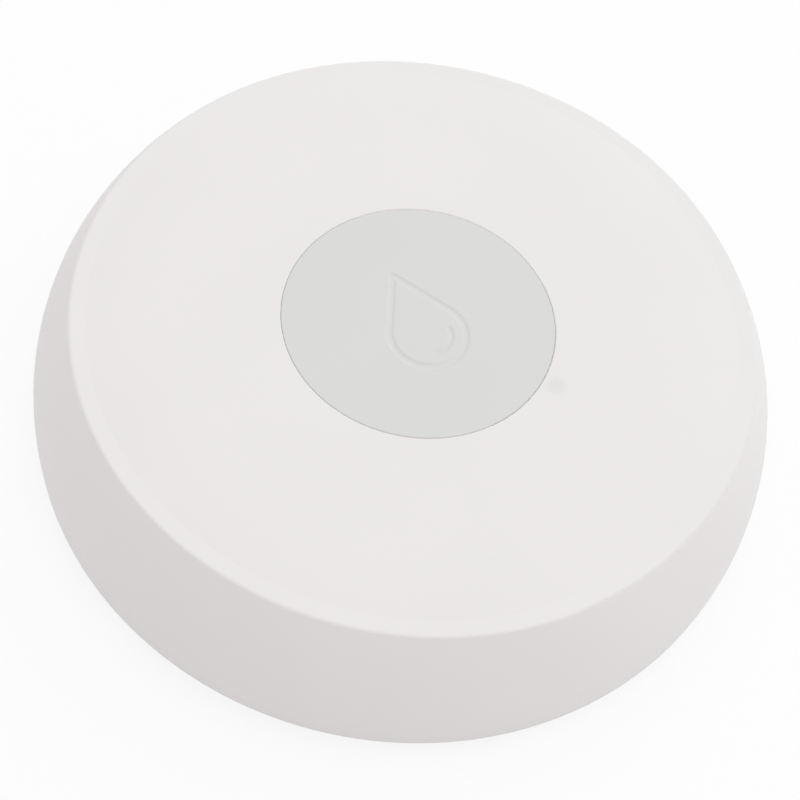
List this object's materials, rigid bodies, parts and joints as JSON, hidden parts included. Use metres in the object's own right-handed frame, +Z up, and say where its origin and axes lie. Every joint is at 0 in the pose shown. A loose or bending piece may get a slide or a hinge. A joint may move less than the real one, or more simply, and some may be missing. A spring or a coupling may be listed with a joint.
{
  "type": "water leak sensor",
  "caption": "Round puck that stands on the floor and senses water between pins under its base, with a press button on top.",
  "frame": {"origin": "on the table plane under the centre of the round body", "axes": "+Z up; +Y is the way the tip of the drop on the button points; X to the right of it"},
  "size_m": [0.065, 0.065, 0.015],
  "materials": {
    "shell_white": "fine satin texture",
    "base_white": "fine matt texture",
    "button_grey": "satin",
    "silicone_white": "matt",
    "rubber_grey": "matt",
    "clear_acrylic": "clear polished",
    "board_green": "solder mask",
    "black_plastic": "moulded",
    "ceramic_tan": "fired",
    "tin_steel": "tin plated",
    "spring_bronze": "rolled strip",
    "gold_plate": "gold plated, polished",
    "cell_steel": "nickel plated",
    "screw_steel": "zinc plated",
    "led_resin": "clear resin"
  },
  "bodies": {
    "housing": {"top_shell": "shell_white", "base_plate": "base_white", "case_gasket": "silicone_white", "button_membrane": "silicone_white", "membrane_retainer": "base_white", "light_pipe": "clear_acrylic", "status_led": "led_resin", "circuit_board": "board_green", "switch_body": "black_plastic", "switch_cover": "tin_steel", "snap_dome": "spring_bronze", "radio_module": "board_green", "module_shield": "tin_steel", "chip_antenna": "ceramic_tan", "controller_chip": "black_plastic", "voltage_regulator": "black_plastic", "crystal": "tin_steel", "capacitors": "ceramic_tan", "resistors": "black_plastic", "battery_holder": "black_plastic", "positive_contact": "spring_bronze", "negative_contact": "spring_bronze", "coin_cell": "cell_steel", "probe_pins": "gold_plate", "probe_seals": "rubber_grey", "probe_clips": "screw_steel", "probe_contacts": "spring_bronze", "case_screws": "screw_steel", "board_screws": "screw_steel", "rubber_feet": "rubber_grey"},
    "button": {"button_cap": "button_grey"},
    "switch_key": {"switch_plunger": "black_plastic"},
    "door": {"battery_door": "base_white", "door_seal": "rubber_grey"}
  },
  "joints": [
    {"name": "button_press", "type": "slide", "parent": "housing", "child": "button", "axis": [0, 0, -1], "range_m": [0, 0.0004], "stiffness_N_per_m": 2500, "deforming": ["button_membrane"]},
    {"name": "switch_key_press", "type": "slide", "parent": "housing", "child": "switch_key", "axis": [0, 0, -1], "range_m": [0, 0.0004], "deforming": ["snap_dome"]},
    {"name": "battery_door_twist", "type": "hinge", "parent": "housing", "child": "door", "pos_m": [0, 0, 0.0013], "axis": [0, 0, -1], "range_deg": [0, 40]}
  ],
  "couplings": [
    {"joint": "switch_key_press", "follows": "button_press", "ratio": 1}
  ]
}
